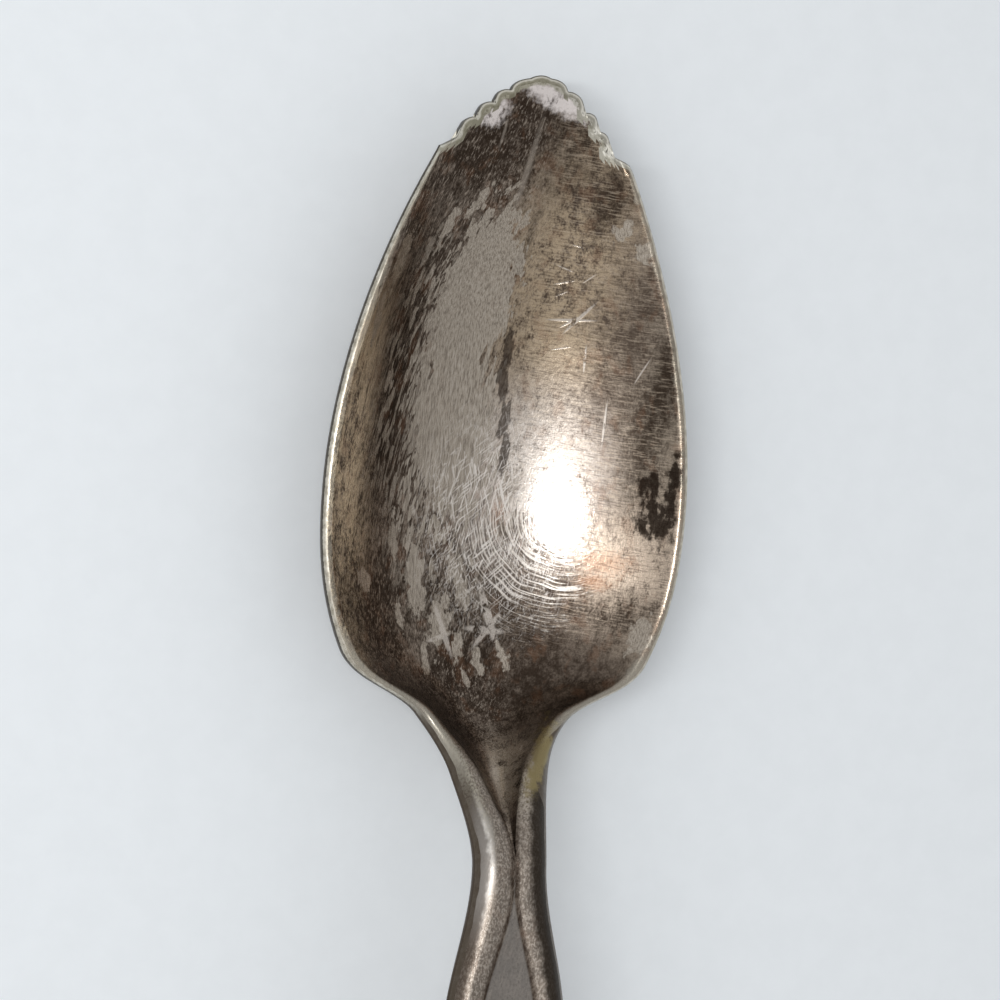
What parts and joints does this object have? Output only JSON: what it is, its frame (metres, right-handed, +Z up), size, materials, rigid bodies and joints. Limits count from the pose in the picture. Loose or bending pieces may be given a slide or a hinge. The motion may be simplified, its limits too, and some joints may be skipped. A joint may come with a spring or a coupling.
{
  "type": "grapefruit spoon",
  "caption": "Silver-plated grapefruit spoon with a pointed oval bowl, a toothed tip, a narrow neck and an arched handle with raised border strands round a sunk panel.",
  "frame": {"origin": "centre of the spoon's outline on the table plane it rests on, bowl facing up", "axes": "+Y along the spoon from the handle to the toothed tip, +X to the right seen from above with the tip up, +Z up out of the bowl"},
  "size_m": [0.0316, 0.152, 0.0178],
  "materials": {
    "nickel_silver": "die-struck nickel silver, worn bare and scuffed along the rim, the teeth and the resting spots",
    "silver_face": "tarnished silver plate, brown-grey with rubbed bright patches and fine scratches",
    "silver_back": "tarnished silver plate, brown-grey, rubbed brighter where the back is held and laid down"
  },
  "bodies": {
    "root": {"blank": "nickel_silver", "front_plate": "silver_face", "back_plate": "silver_back"}
  },
  "joints": []
}
